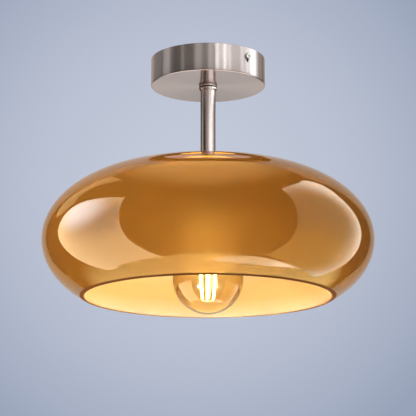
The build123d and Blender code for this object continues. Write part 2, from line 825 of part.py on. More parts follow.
with BuildPart() as bulb_globe:
    with BuildSketch(Plane.XZ):
        with BuildLine():
            globe_side(0)
            globe_side(globe_wall)
            Line((neck_radius, neck_top_z), (neck_radius - globe_wall, neck_top_z))
            Line((0, globe_centre_z - globe_radius), (0, globe_centre_z - globe_radius + globe_wall))
        make_face()
    revolve(axis=Axis.Z)
save(bulb_globe, "bulb_globe")

neck_bore_radius = neck_radius - globe_wall
with BuildPart() as filament_mount:
    with BuildSketch(Plane.XZ):
        with BuildLine():
            Polyline(
                (0, neck_top_z),
                (neck_bore_radius - thread_gap, neck_top_z),
                (neck_bore_radius - thread_gap, neck_top_z - mount_flare_height),
                (mount_waist_radius, neck_top_z - mount_waist_drop),
                (mount_radius, neck_top_z - mount_stem_drop),
                (mount_radius, mount_bottom_z),
                (0, mount_bottom_z),
                close=True,
            )
        make_face()
    revolve(axis=Axis.Z)
save(filament_mount, "filament_mount")


def on_circle(radius, angle, height):
    """A point at a radius, an angle in degrees from +X and a height."""
    return (radius * cos(angle * pi / 180), radius * sin(angle * pi / 180), height)


filament_angles = [filament_turn + index * 360 / filament_count for index in range(filament_count)]
with BuildPart() as filaments:
    for angle in filament_angles:
        add(rod(
            on_circle(filament_bottom_radius, angle, filament_bottom_z),
            on_circle(filament_top_radius, angle, filament_top_z), filament_radius))
save(filaments, "filaments")

filament_lean = (filament_top_radius - filament_bottom_radius) / (filament_top_z - filament_bottom_z)
upper_hub_z = mount_bottom_z - upper_hub_drop
lower_hub_z = filament_bottom_z - lower_hub_drop
with BuildPart() as filament_supports:
    add(rod((0, 0, lower_hub_z - wire_radius), (0, 0, mount_bottom_z), 2 * wire_radius))
    for angle in filament_angles:
        top_end = on_circle(filament_top_radius, angle, filament_top_z)
        top_bend = on_circle(
            filament_top_radius + filament_lean * wire_tab, angle, filament_top_z + wire_tab)
        foot_end = on_circle(filament_bottom_radius, angle, filament_bottom_z)
        foot_bend = on_circle(
            filament_bottom_radius - filament_lean * wire_tab, angle, filament_bottom_z - wire_tab)
        add(rod(top_end, top_bend, wire_radius))
        add(rod((0, 0, upper_hub_z), top_bend, wire_radius))
        add(rod(foot_bend, foot_end, wire_radius))
        add(rod((0, 0, lower_hub_z), foot_bend, wire_radius))
save(filament_supports, "filament_supports")
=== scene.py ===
"""Semi flush ceiling light, dressed for the photograph's view. Metres, +Z up, ceiling at Z = 0."""

import bpy
import bmesh
from math import asin, atan2, cos, pi, radians, sin, sqrt, tan
from mathutils import Matrix, Vector


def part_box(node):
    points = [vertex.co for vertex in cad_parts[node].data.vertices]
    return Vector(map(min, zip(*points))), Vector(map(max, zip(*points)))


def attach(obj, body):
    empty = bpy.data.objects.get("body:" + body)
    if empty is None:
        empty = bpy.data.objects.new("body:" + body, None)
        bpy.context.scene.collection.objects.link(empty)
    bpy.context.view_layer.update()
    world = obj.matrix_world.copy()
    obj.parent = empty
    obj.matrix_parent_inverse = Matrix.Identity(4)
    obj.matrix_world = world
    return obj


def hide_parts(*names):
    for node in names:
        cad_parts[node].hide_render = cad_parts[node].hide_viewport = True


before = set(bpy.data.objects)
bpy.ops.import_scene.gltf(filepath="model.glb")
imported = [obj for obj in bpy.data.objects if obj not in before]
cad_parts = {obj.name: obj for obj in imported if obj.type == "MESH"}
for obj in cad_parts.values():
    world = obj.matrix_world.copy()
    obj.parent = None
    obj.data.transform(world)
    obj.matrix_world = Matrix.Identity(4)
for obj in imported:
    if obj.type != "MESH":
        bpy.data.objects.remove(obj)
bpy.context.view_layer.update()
scene = bpy.context.scene
scene.view_settings.view_transform = "Standard"

# ---- the camera ------------------------------------------------------------------------------
# The lamp is seen from a little below with a long lens, about midway between the end of the
# strap and its side. The lens is given as a focal length in pixels of the picture.
camera_turn = radians(47.1)
camera_distance = 1.9826
camera_height = -0.6255
camera_pitch = radians(12.764)
camera_lens_pixels = 1780
picture_pixels = 416
sensor_width = 36

towards_camera = Vector((sin(camera_turn), -cos(camera_turn), 0))
camera_right = Vector((cos(camera_turn), sin(camera_turn), 0))
up = Vector((0, 0, 1))
view_direction = -towards_camera * cos(camera_pitch) + up * sin(camera_pitch)

camera = bpy.data.objects.new("camera", bpy.data.cameras.new("camera"))
camera.data.sensor_width = sensor_width
camera.data.lens = camera_lens_pixels / picture_pixels * sensor_width
camera.data.clip_end = 50
camera.location = towards_camera * camera_distance + up * camera_height
camera.rotation_mode = "QUATERNION"
camera.rotation_quaternion = view_direction.to_track_quat("-Z", "Y")
scene.collection.objects.link(camera)
scene.camera = camera

# ---- the ceiling canopy ----------------------------------------------------------------------
# A drawn steel cup, plated with nickel and brushed: round its side, and turned on its flat
# underside. A keyhole in each side takes a pan-head screw from the strap's tabs.
canopy_low, canopy_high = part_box("canopy_cup")
canopy_radius = canopy_high.x
canopy_underside = canopy_low.z
canopy_wall = 0.001
canopy_edge_round = 0.0012
canopy_inner_round = 0.0006
canopy_rim_bevel = 0.0003
underside_middle_ring = 0.02
underside_edge_margin = 0.004
turned_share_of_edge = 0.7
stem_hole_radius = 0.00505
screw_drop = 0.0107
keyhole_radius = 0.0021
keyhole_slot_half = 0.0015
keyhole_reach = 0.0069
keyhole_arc_start = -45
keyhole_arc_sweep = 270
keyhole_arc_steps = 24
slot_arc_steps = 12
nickel_colour = (0.67, 0.595, 0.575)
nickel_roughness = 0.25
underside_roughness = 0.13
lathe_steps = 256
corner_steps = 6
axis_radius = 1e-7
sharp_angle = radians(32)


def lathe(name, outline, body, slots, node_name, steps=lathe_steps, closed=True):
    """A turned piece in place of a node: its (radius, height) outline swept round the lamp's axis.
    slots gives, for each stretch of the outline, the number of its material."""
    mesh = bmesh.new()
    rings = []
    for radius, height in outline:
        if radius < axis_radius:
            rings.append([mesh.verts.new((0, 0, height))])
            continue
        turns = [2 * pi * step / steps for step in range(steps)]
        rings.append([mesh.verts.new((radius * cos(turn), radius * sin(turn), height)) for turn in turns])
    count = len(rings)
    for index in range(count if closed else count - 1):
        ring, other = rings[index], rings[(index + 1) % count]
        if len(ring) == 1 and len(other) == 1:
            continue
        for step in range(steps):
            following = (step + 1) % steps
            corners = [ring[step % len(ring)], other[step % len(other)],
                       other[following % len(other)], ring[following % len(ring)]]
            face = mesh.faces.new(list(dict.fromkeys(corners)))
            face.smooth = True
            face.material_index = slots[index] if index < len(slots) else 0
    bmesh.ops.recalc_face_normals(mesh, faces=mesh.faces)
    data = bpy.data.meshes.new(name)
    mesh.to_mesh(data)
    mesh.free()
    piece = bpy.data.objects.new(name, data)
    scene.collection.objects.link(piece)
    data.set_sharp_from_angle(angle=sharp_angle)
    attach(piece, body)
    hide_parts(node_name)
    return piece


def round_corner(corner, before, after, radius):
    """Points of an arc that rounds a corner of an outline."""
    corner, before, after = Vector(corner), Vector(before), Vector(after)
    first, last = (before - corner).normalized(), (after - corner).normalized()
    half = first.angle(last) / 2
    middle = corner + (first + last).normalized() * (radius / sin(half))
    start = corner + first * (radius / tan(half))
    end = corner + last * (radius / tan(half))
    start_angle = atan2(start.y - middle.y, start.x - middle.x)
    end_angle = atan2(end.y - middle.y, end.x - middle.x)
    turn = (end_angle - start_angle + pi) % (2 * pi) - pi
    angles = [start_angle + turn * step / corner_steps for step in range(corner_steps + 1)]
    return [(middle.x + radius * cos(angle), middle.y + radius * sin(angle)) for angle in angles]


def cut(piece, cutter):
    """Cuts one mesh out of another and throws the cutter away."""
    boolean = piece.modifiers.new("cut", "BOOLEAN")
    boolean.object = cutter
    boolean.solver = "EXACT"
    depsgraph = bpy.context.evaluated_depsgraph_get()
    data = bpy.data.meshes.new_from_object(piece.evaluated_get(depsgraph))
    piece.modifiers.clear()
    piece.data = data
    data.set_sharp_from_angle(angle=sharp_angle)
    bpy.data.objects.remove(cutter)


def keyhole_cutter(length):
    """A bar along X with the keyhole's section: a round hole and a slot hanging from it."""
    outline = []
    for step in range(keyhole_arc_steps + 1):
        angle = radians(keyhole_arc_start + keyhole_arc_sweep * step / keyhole_arc_steps)
        outline.append((keyhole_radius * cos(angle), -screw_drop + keyhole_radius * sin(angle)))
    foot = -screw_drop - keyhole_reach + keyhole_slot_half
    for step in range(slot_arc_steps + 1):
        angle = pi + pi * step / slot_arc_steps
        outline.append((keyhole_slot_half * cos(angle), foot + keyhole_slot_half * sin(angle)))
    mesh = bmesh.new()
    face = mesh.faces.new([mesh.verts.new((-length / 2, y, z)) for y, z in outline])
    grown = bmesh.ops.extrude_face_region(mesh, geom=[face])
    moved = [item for item in grown["geom"] if isinstance(item, bmesh.types.BMVert)]
    bmesh.ops.translate(mesh, verts=moved, vec=(length, 0, 0))
    bmesh.ops.recalc_face_normals(mesh, faces=mesh.faces)
    data = bpy.data.meshes.new("keyhole_cutter")
    mesh.to_mesh(data)
    mesh.free()
    cutter = bpy.data.objects.new("keyhole_cutter", data)
    scene.collection.objects.link(cutter)
    return cutter


def new_finish(name):
    """A new material, its node tree and its shader."""
    material = bpy.data.materials.new(name)
    material.use_nodes = True
    return material, material.node_tree, material.node_tree.nodes["Principled BSDF"]


def feed(tree, socket, value):
    """Gives a socket a plain value, a colour, or the output of another node."""
    if isinstance(value, bpy.types.NodeSocket):
        tree.links.new(value, socket)
    else:
        socket.default_value = (*value, 1) if socket.type == "RGBA" else value


def node_of(tree, kind, **inputs):
    """A new shader node with its sockets fed by name."""
    node = tree.nodes.new(kind)
    for name, value in inputs.items():
        feed(tree, node.inputs[name.replace("_", " ")], value)
    return node


def reckoned(tree, operation, *values, kind="ShaderNodeMath"):
    """A node that works one value out of others, each of them plain or the output of a node."""
    node = tree.nodes.new(kind)
    node.operation = operation
    for socket, value in zip(node.inputs, values):
        feed(tree, socket, value)
    return node


def ranged(tree, value, low, high, start=0.0, end=1.0, curve="LINEAR"):
    """A number that goes from low to high as the value goes from start to end."""
    reach = node_of(
        tree, "ShaderNodeMapRange", Value=value, From_Min=start, From_Max=end, To_Min=low, To_Max=high)
    reach.interpolation_type = curve
    return reach.outputs[0]


def mixed(tree, share, first, second):
    """A blend of two colours, each given plainly or as the output of a node."""
    mix = tree.nodes.new("ShaderNodeMix")
    mix.data_type = "RGBA"
    for socket, value in (("Factor", share), ("A", first), ("B", second)):
        feed(tree, mix.inputs[socket], value)
    return mix.outputs["Result"]


def shaded(colour, strength):
    """A colour made darker or lighter."""
    return tuple(min(1, value * strength) for value in colour)


def brushed_nickel(name, lines, roughness=nickel_roughness):
    """Satin nickel plate with fine brush lines: "round" a side, or "turned" on a flat face."""
    material, tree, shader = new_finish(name)
    rim_tint = {"round": 0.80, "turned": 1.0}[lines]
    grain_scales = {"round": (1.2, 9000, 3), "turned": (1.2, 3, 9000)}[lines]
    shader.inputs["Metallic"].default_value = 1
    shader.inputs["Anisotropic"].default_value = 1
    shader.inputs["Anisotropic Rotation"].default_value = 0.25
    shader.inputs["Specular Tint"].default_value = (rim_tint, rim_tint, rim_tint, 1)
    place = tree.nodes.new("ShaderNodeTexCoord")
    split = node_of(tree, "ShaderNodeSeparateXYZ", Vector=place.outputs["Object"])
    across, along, height = (split.outputs[axis] for axis in "XYZ")
    flat = node_of(tree, "ShaderNodeCombineXYZ", X=across, Y=along)
    radius = reckoned(tree, "LENGTH", flat.outputs[0], kind="ShaderNodeVectorMath").outputs["Value"]
    angle = reckoned(tree, "ARCTAN2", along, across).outputs[0]
    around = node_of(tree, "ShaderNodeCombineXYZ", X=angle, Y=height, Z=radius)
    stretched = reckoned(tree, "MULTIPLY", around.outputs[0], grain_scales, kind="ShaderNodeVectorMath")
    noise = node_of(
        tree, "ShaderNodeTexNoise", Vector=stretched.outputs["Vector"], Scale=1, Detail=3, Roughness=0.6)
    grain = noise.outputs["Fac"]
    feed(tree, shader.inputs["Roughness"], ranged(tree, grain, roughness * 0.82, roughness * 1.2))
    tint = mixed(tree, grain, shaded(nickel_colour, 0.93), shaded(nickel_colour, 1.05))
    feed(tree, shader.inputs["Base Color"], tint)
    bump = node_of(tree, "ShaderNodeBump", Strength=0.06, Distance=0.0002, Height=grain)
    feed(tree, shader.inputs["Normal"], bump.outputs[0])
    tangent = tree.nodes.new("ShaderNodeTangent")
    tangent.direction_type = "RADIAL"
    tangent.axis = "Z"
    feed(tree, shader.inputs["Tangent"], tangent.outputs[0])
    return material


wall_inner = canopy_radius - canopy_wall
floor_height = canopy_underside + canopy_wall
outer_edge = round_corner(
    (canopy_radius, canopy_underside), (canopy_radius, 0), (0, canopy_underside), canopy_edge_round)
inner_edge = round_corner(
    (wall_inner, floor_height), (0, floor_height), (wall_inner, 0), canopy_inner_round)
canopy_outline = (
    [(canopy_radius, -canopy_rim_bevel), (canopy_radius - canopy_rim_bevel, 0), (wall_inner, 0)]
    + inner_edge[::-1]
    + [(stem_hole_radius, floor_height), (stem_hole_radius, canopy_underside)]
    + [(underside_middle_ring, canopy_underside), (canopy_radius - underside_edge_margin, canopy_underside)]
    + outer_edge[::-1])
turned_reach = canopy_radius - canopy_edge_round * turned_share_of_edge
canopy_slots = [
    1 if radius < turned_reach and height < floor_height - canopy_wall / 10 else 0
    for radius, height in canopy_outline]
canopy = lathe("canopy", canopy_outline, "fixture", canopy_slots, "canopy_cup")
canopy.data.materials.append(brushed_nickel("canopy_side_nickel", "round"))
canopy.data.materials.append(brushed_nickel("canopy_underside_nickel", "turned", underside_roughness))
cut(canopy, keyhole_cutter(3 * canopy_radius))

# ---- the side screws -------------------------------------------------------------------------
# Two nickel-plated M4 pan heads with a cross recess. They turn into the strap's tabs and hold
# the canopy by its keyholes.


def clouding(tree, scale, detail=3.0, roughness=0.5):
    """A noise through the piece, from 0 to 1."""
    place = tree.nodes.new("ShaderNodeTexCoord")
    noise = node_of(tree, "ShaderNodeTexNoise", Vector=place.outputs["Object"],
                    Scale=scale, Detail=detail, Roughness=roughness)
    return noise.outputs["Fac"]


def plated(name, colour, roughness=0.2, scale=900, wear=0.25):
    """A plated or bare metal, with faint cloudy wear in its gloss."""
    material, tree, shader = new_finish(name)
    shader.inputs["Metallic"].default_value = 1
    cloud = clouding(tree, scale, detail=4.0, roughness=0.65)
    gloss = ranged(tree, cloud, roughness * (1 - wear), roughness * (1 + wear))
    feed(tree, shader.inputs["Roughness"], gloss)
    feed(tree, shader.inputs["Base Color"], mixed(tree, cloud, shaded(colour, 0.88), shaded(colour, 1.08)))
    return material


def dress(names, material):
    """Gives CAD nodes a finish."""
    for name in names:
        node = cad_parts[name]
        node.data.materials.clear()
        node.data.materials.append(material)


dress(["canopy_screws"], plated("screw_nickel", (0.72, 0.7, 0.68), 0.16))

# ---- the strap and the metal inside ----------------------------------------------------------
# A bent zinc-plated strap with its earth lug, and the nuts, washer and threaded tubes that hold
# the stem and the lampholder. The clamps, contacts, threaded shell and earth screw are bare brass.
dress(
    ["ceiling_bracket", "upper_lock_nut", "upper_washer", "upper_nipple", "stem_upper_bush",
     "stem_lower_bush", "lower_nipple", "lower_lock_nut", "earth_lug", "terminal_screws",
     "holder_terminal_screws"],
    plated("zinc_plate", (0.66, 0.67, 0.69), 0.34, scale=420, wear=0.35))
dress(
    ["terminal_clamps", "earth_screw", "holder_terminals", "centre_contact", "side_contact", "holder_shell"],
    plated("bare_brass", (0.78, 0.58, 0.28), 0.3, scale=500))

# ---- the terminal block and the leads --------------------------------------------------------
# A white three-pole block pegged to the strap, and brown, blue and green insulated leads that
# run from it and from the earth screw down through the stem to the holder.


def moulded(name, colour, roughness=0.45, grain=1400, coat=0.0):
    """A moulded plastic, rubber or ceramic with a fine skin grain."""
    material, tree, shader = new_finish(name)
    shader.inputs["Coat Weight"].default_value = coat
    skin = clouding(tree, grain)
    feed(tree, shader.inputs["Base Color"], mixed(tree, skin, shaded(colour, 0.9), shaded(colour, 1.06)))
    feed(tree, shader.inputs["Roughness"], ranged(tree, skin, roughness * 0.85, roughness * 1.15))
    bump = node_of(tree, "ShaderNodeBump", Strength=0.12, Distance=0.0001, Height=skin)
    feed(tree, shader.inputs["Normal"], bump.outputs[0])
    return material


dress(["terminal_block"], moulded("block_plastic", (0.86, 0.85, 0.8), 0.4))
dress(["live_lead"], moulded("brown_insulation", (0.2, 0.09, 0.04), 0.38))
dress(["neutral_lead"], moulded("blue_insulation", (0.05, 0.2, 0.55), 0.38))
dress(["earth_lead"], moulded("green_insulation", (0.25, 0.5, 0.08), 0.38))

# ---- the stem and its collar -----------------------------------------------------------------
# A steel tube, plated and brushed round, hung from the strap through the canopy. A short ring
# of the same metal, with a fine groove turned in it, sits round the tube's top end.
stem_low, stem_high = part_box("stem_tube")
stem_radius = stem_high.x
stem_wall = 0.0012
stem_edge = 0.0003
stem_bore = stem_radius - stem_wall
stem_finish = brushed_nickel("stem_nickel", "round")
stem_outline = [
    (stem_radius, stem_low.z + stem_edge), (stem_radius, stem_high.z - stem_edge),
    (stem_radius - stem_edge, stem_high.z), (stem_bore, stem_high.z),
    (stem_bore, stem_low.z), (stem_radius - stem_edge, stem_low.z)]
stem = lathe("stem", stem_outline, "fixture", (), "stem_tube")
stem.data.materials.append(stem_finish)

collar_low, collar_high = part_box("stem_collar")
collar_radius = collar_high.x
collar_bore = stem_radius + 0.00005
collar_top_inset = 0.0007
collar_top_round = 0.0003
collar_taper_height = 0.0019
collar_taper_round = 0.0007
collar_taper_land = 0.0004
collar_foot_land = 0.0005
collar_foot_bevel = 0.0002
groove_top = collar_high.z - 0.0010
groove_foot = collar_high.z - 0.0025
groove_radius = collar_radius - 0.0009
collar_head = (
    [(collar_bore, collar_high.z), (collar_radius - collar_top_inset, collar_high.z)]
    + round_corner(
        (collar_radius, collar_high.z), (0, collar_high.z), (collar_radius, collar_low.z), collar_top_round)
    + [(collar_radius, groove_top)])
collar_groove = [(groove_radius, groove_top), (groove_radius, groove_foot), (collar_radius, groove_foot)]
collar_foot = (
    round_corner(
        (collar_radius, collar_low.z + collar_taper_height), (collar_radius, collar_high.z),
        (collar_bore + collar_taper_land, collar_low.z), collar_taper_round)
    + [(collar_bore + collar_foot_land, collar_low.z + collar_foot_bevel), (collar_bore, collar_low.z)])
collar_slots = [0] * (len(collar_head) - 1) + [1] * len(collar_groove)
collar = lathe("collar", collar_head + collar_groove + collar_foot, "fixture", collar_slots, "stem_collar")
collar.data.materials.append(stem_finish)
# The groove's faces get a near-black finish: painted shade, for the dark line where the groove lies.
collar.data.materials.append(plated("groove_painted_shade", (0.05, 0.045, 0.045), 0.6, scale=700))

# ---- the lampholder --------------------------------------------------------------------------
# A nickel cap over a black moulded body, a ceramic contact block, silicone gaskets, and the
# black shade ring that screws up under the glass.
dress(["holder_cap"], brushed_nickel("holder_cap_nickel", "round"))
dress(["holder_body", "shade_ring"], moulded("black_moulding", (0.025, 0.024, 0.023), 0.3, coat=0.3))
dress(["contact_block"], moulded("steatite", (0.85, 0.83, 0.78), 0.3, coat=0.5))
dress(["upper_gasket", "lower_gasket"], moulded("silicone", (0.8, 0.79, 0.75), 0.5))

# ---- the glass shade -------------------------------------------------------------------------
# One blown piece: deep amber glass outside, cased with a cream layer inside, with a dished top
# on the lampholder and a ground and polished lip round its open end.
shade_low, shade_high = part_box("glass_shade")
shade_radius = 0.1888
shade_wall = 0.0024
crest_radius = 0.060
crest_height = shade_high.z
equator_height = crest_height - 0.0845
lower_centre = 0.075
opening_radius = 0.1424
opening_height = shade_low.z
seat_radius = 0.031
seat_height = -0.148
hole_radius = 0.0203
lip_round = 0.0007
side_steps = 72
dish_steps = 24
amber_dark = (0.335, 0.123, 0.013)
amber_light = (0.375, 0.140, 0.017)
cream_at_lip = (0.98, 0.92, 0.76)
cream_deep_inside = (0.90, 0.65, 0.28)
cream_reach = 0.028
edge_amber = (0.55, 0.24, 0.03)
edge_amber_start = 0.0008
edge_amber_end = 0.0013
lip_dark = (0.10, 0.027, 0.002)
lip_light = (0.17, 0.05, 0.003)


def shade_face(inset):
    """Outline points of one face of the wall, from the open end up over the crest to the hole."""
    points = []
    lower_reach = shade_radius - lower_centre
    lower_height = equator_height - opening_height
    opening_share = (opening_radius - lower_centre) / lower_reach
    lower_drop = lower_height / sqrt(1 - opening_share**2) - inset
    lower_turn = asin(lower_height / lower_drop)
    for step in range(side_steps):
        angle = -lower_turn * (1 - step / side_steps)
        radius = lower_centre + (lower_reach - inset) * cos(angle)
        points.append((radius, equator_height + lower_drop * sin(angle)))
    reach = shade_radius - crest_radius - inset
    rise = crest_height - equator_height - inset
    for step in range(side_steps):
        angle = pi / 2 * step / side_steps
        points.append((crest_radius + reach * cos(angle), equator_height + rise * sin(angle)))
    run, fall = crest_radius - seat_radius, crest_height - seat_height
    bend = (run**2 + fall**2) / (4 * fall)
    crest_bend, seat_bend = bend - inset, bend + inset
    dish_turn = atan2(run, 2 * bend - fall)
    for step in range(dish_steps):
        angle = dish_turn * step / dish_steps
        drop = inset + crest_bend * (1 - cos(angle))
        points.append((crest_radius - crest_bend * sin(angle), crest_height - drop))
    for step in range(dish_steps, -1, -1):
        angle = dish_turn * step / dish_steps
        lift = seat_bend * (1 - cos(angle)) - inset
        points.append((seat_radius + seat_bend * sin(angle), seat_height + lift))
    points.append((hole_radius, seat_height - inset))
    return points


def amber_case(name):
    """The amber outside of the shade: deep, glossy, and letting some of the bulb through."""
    material, tree, shader = new_finish(name)
    shader.inputs["Roughness"].default_value = 0.006
    shader.inputs["IOR"].default_value = 1.5
    shader.inputs["Transmission Weight"].default_value = 0.26
    swirl = clouding(tree, 9.0, roughness=0.55)
    feed(tree, shader.inputs["Base Color"], mixed(tree, swirl, amber_dark, amber_light))
    return material


def cream_case(name):
    """The cream layer inside the shade, paler near the lip and a deeper orange further in."""
    material, tree, shader = new_finish(name)
    shader.inputs["Roughness"].default_value = 0.42
    shader.inputs["IOR"].default_value = 1.5
    shader.inputs["Transmission Weight"].default_value = 0.5
    place = tree.nodes.new("ShaderNodeTexCoord")
    height = node_of(tree, "ShaderNodeSeparateXYZ", Vector=place.outputs["Object"]).outputs["Z"]
    depth = ranged(tree, height, 0, 1, opening_height, opening_height + cream_reach)
    uneven = reckoned(tree, "MULTIPLY_ADD", clouding(tree, 14.0), 0.3, -0.15).outputs[0]
    layer = reckoned(tree, "ADD", depth, uneven).outputs[0]
    tint = mixed(tree, layer, cream_at_lip, cream_deep_inside)
    edge = ranged(tree, height, 0, 1, opening_height + edge_amber_start, opening_height + edge_amber_end)
    feed(tree, shader.inputs["Base Color"], mixed(tree, edge, edge_amber, tint))
    return material


def lip_glass(name):
    """The ground lip, where the amber is seen edge-on and looks brown."""
    material, tree, shader = new_finish(name)
    shader.inputs["Roughness"].default_value = 0.5
    shader.inputs["IOR"].default_value = 1.12
    feed(tree, shader.inputs["Base Color"], mixed(tree, clouding(tree, 60.0), lip_dark, lip_light))
    return material


outer_face = shade_face(0)
inner_face = shade_face(shade_wall)
outer_lip = round_corner(outer_face[0], inner_face[0], outer_face[1], lip_round)
inner_lip = round_corner(inner_face[0], inner_face[1], outer_face[0], lip_round)
outer_stretch = outer_face[2:]
inner_stretch = inner_face[:1:-1] + inner_lip
shade_slots = [2] * len(outer_lip) + [0] * len(outer_stretch) + [1] * (len(inner_stretch) - 1) + [2]
shade = lathe("shade", outer_lip + outer_stretch + inner_stretch, "fixture", shade_slots, "glass_shade")
for finish in (amber_case("amber_glass"), cream_case("cream_casing"), lip_glass("lip_glass")):
    shade.data.materials.append(finish)

# ---- the bulb --------------------------------------------------------------------------------
# A clear amber-tinted globe on a rolled aluminium screw cap, with a black glass insulator and a
# solder tip above, and LED rods on wires round a glass mount inside.
globe_low, globe_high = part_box("bulb_globe")
globe_radius = globe_high.x
globe_wall = 0.0009
globe_centre = globe_low.z + globe_radius
globe_lathe_steps = 160
globe_steps = 73
neck_steps = 12
neck_radius = 0.0127
neck_round = 0.018
neck_bend_x = neck_radius + neck_round
neck_bend_z = globe_centre + sqrt((globe_radius + neck_round) ** 2 - neck_bend_x**2)
neck_angle = atan2(neck_bend_z - globe_centre, neck_bend_x)
globe_tint = (1.0, 0.935, 0.64)
globe_roughness = 0.025
rod_glow = 40


def globe_face(inset):
    """Outline points of one face of the globe, from its lowest point up to the neck's end."""
    radius = globe_radius - inset
    bend = neck_round + inset
    points = []
    for step in range(globe_steps):
        angle = -pi / 2 + (neck_angle + pi / 2) * step / globe_steps
        points.append((max(0, radius * cos(angle)), globe_centre + radius * sin(angle)))
    for step in range(neck_steps + 1):
        angle = pi + neck_angle * (1 - step / neck_steps)
        points.append((neck_bend_x + bend * cos(angle), neck_bend_z + bend * sin(angle)))
    points.append((neck_radius - inset, globe_high.z))
    return points


def tinted_glass(name, colour, roughness=0.0):
    """Clear thin glass, its tint deeper and browner where it is seen aslant."""
    material, tree, shader = new_finish(name)
    shader.inputs["Transmission Weight"].default_value = 1
    shader.inputs["Roughness"].default_value = roughness
    shader.inputs["IOR"].default_value = 1.56
    aslant = node_of(tree, "ShaderNodeLayerWeight", Blend=0.35).outputs["Facing"]
    deeper = (colour[0] * 0.62, colour[1] * 0.36, colour[2] * 0.10)
    feed(tree, shader.inputs["Base Color"], mixed(tree, aslant, colour, deeper))
    return material


def glowing_coat(name):
    """The phosphor coat of an LED rod, lit. It is seen to glow, but the lamps below do its lighting."""
    material, tree, shader = new_finish(name)
    shader.inputs["Base Color"].default_value = (1.0, 0.75, 0.35, 1)
    shader.inputs["Roughness"].default_value = 0.6
    shader.inputs["Emission Color"].default_value = (1.0, 0.72, 0.34, 1)
    path = tree.nodes.new("ShaderNodeLightPath")
    feed(tree, shader.inputs["Emission Strength"], ranged(tree, path.outputs["Is Diffuse Ray"], rod_glow, 0))
    return material


globe_outline = globe_face(0) + globe_face(globe_wall)[::-1]
globe = lathe("globe", globe_outline, "bulb", (), "bulb_globe", steps=globe_lathe_steps, closed=False)
globe.data.materials.append(tinted_glass("bulb_glass", globe_tint, globe_roughness))
globe.visible_shadow = False
dress(["bulb_cap", "bulb_tip"], plated("cap_aluminium", (0.8, 0.79, 0.77), 0.28, scale=350))
dress(["bulb_insulator"], moulded("black_glass", (0.012, 0.012, 0.012), 0.15, coat=1.0))
dress(["bulb_driver"], moulded("driver_board", (0.05, 0.22, 0.1), 0.5))
dress(["filament_mount"], tinted_glass("mount_glass", (0.97, 0.98, 0.97)))
dress(["filament_supports"], plated("support_wire", (0.6, 0.58, 0.55), 0.3))
dress(["filaments"], glowing_coat("led_phosphor"))
for inner_piece in ("filament_mount", "filament_supports", "filaments"):
    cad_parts[inner_piece].visible_shadow = False

# ---- the bulb's light ------------------------------------------------------------------------
# Small lamps in the globe light the shade's inside. Others, between the globe and the near wall,
# light only the shade: they stand for the bulb's light that its cased glass spreads.
room_glow_spread = 0.0075
room_glow_rise = -0.006
room_glow_power = 0.62
room_glow_colour = (1.0, 0.90, 0.62)
wall_glow_colour = (1.0, 0.93, 0.62)
shade_only = bpy.data.collections.new("shade_only")
shade_only.objects.link(shade)


def hang_light(light, hidden_from, receivers):
    """Puts a light in the scene, hidden from some kinds of ray and lighting only some pieces."""
    light_object = bpy.data.objects.new(light.name, light)
    for ray in hidden_from:
        setattr(light_object, "visible_" + ray, False)
    if receivers:
        light_object.light_linking.receiver_collection = receivers
    scene.collection.objects.link(light_object)
    return light_object


def bulb_lamp(name, across, forward, rise, power, colour, hidden_from, receivers=None):
    """A point of the bulb's light, across, in front of and above the globe's centre."""
    light = bpy.data.lights.new(name, "POINT")
    light.energy = power
    light.color = colour
    light.shadow_soft_size = 0.001
    lamp = hang_light(light, hidden_from, receivers)
    lamp.location = camera_right * across + towards_camera * forward + up * (globe_centre + rise)


for across in (-room_glow_spread, 0, room_glow_spread):
    bulb_lamp("room_glow", across, 0, room_glow_rise, room_glow_power, room_glow_colour,
              ("transmission", "camera"))
for across, forward, rise, power in (
        (-0.03, 0.05, 0, 4.0), (0.03, 0.05, 0, 3.4), (0, 0.05, 0.018, 1.4),
        (-0.014, 0.128, -0.016, 1.9), (0.014, 0.128, -0.016, 1.7), (0, 0.125, -0.002, 6.4),
        (0, 0.125, 0.010, 2.4), (0, 0.12, 0.025, 0.7)):
    bulb_lamp("wall_glow", across, forward, rise, power, wall_glow_colour, ("diffuse", "camera"), shade_only)

# ---- the studio floor ------------------------------------------------------------------------
# A pale painted floor, far below the lamp and out of the picture. The collections that follow
# say which pieces each kind of studio light is for.
floor_drop = -1.9
floor_half = 12
floor_mesh = bpy.data.meshes.new("floor")
floor_mesh.from_pydata(
    [(x * floor_half, y * floor_half, floor_drop) for x, y in ((-1, -1), (1, -1), (1, 1), (-1, 1))],
    [], [(0, 1, 2, 3)])
floor = bpy.data.objects.new("floor", floor_mesh)
scene.collection.objects.link(floor)
floor.data.materials.append(moulded("floor_paint", (0.86, 0.83, 0.80), 0.8, grain=3))
floor.visible_glossy = False


def pieces_together(name, pieces):
    """A collection of the pieces that a light is for."""
    together = bpy.data.collections.new(name)
    for piece in pieces:
        together.objects.link(piece)
    return together


glass_pieces = pieces_together("glass_pieces", (shade, globe))
canopy_pieces = pieces_together("canopy_pieces", (canopy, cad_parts["canopy_screws"]))
stem_pieces = pieces_together("stem_pieces", (stem, collar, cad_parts["holder_cap"]))

# ---- the cards that the glass mirrors --------------------------------------------------------
# Glowing sheets beside, under and over the lamp, seen only as reflections in the glass: they
# give the shade its pale shapes. A black round flag under the canopy gives its dark crown.
equator = up * equator_height
side_reach = 1.15
band_drop = 1.5
floor_card_drop = 1.685
top_card_rise = 1.5
flag_radius = 0.093
flag_place = camera_right * 0.003 + up * (canopy_underside + 0.0005)
unlit = (0, 0, 0)


def patch(spot, near, far, glow, squeeze=(1, 1)):
    """A part of a card with its own glow: full within near of the spot, and gone at far."""
    return spot, near, far, glow, squeeze


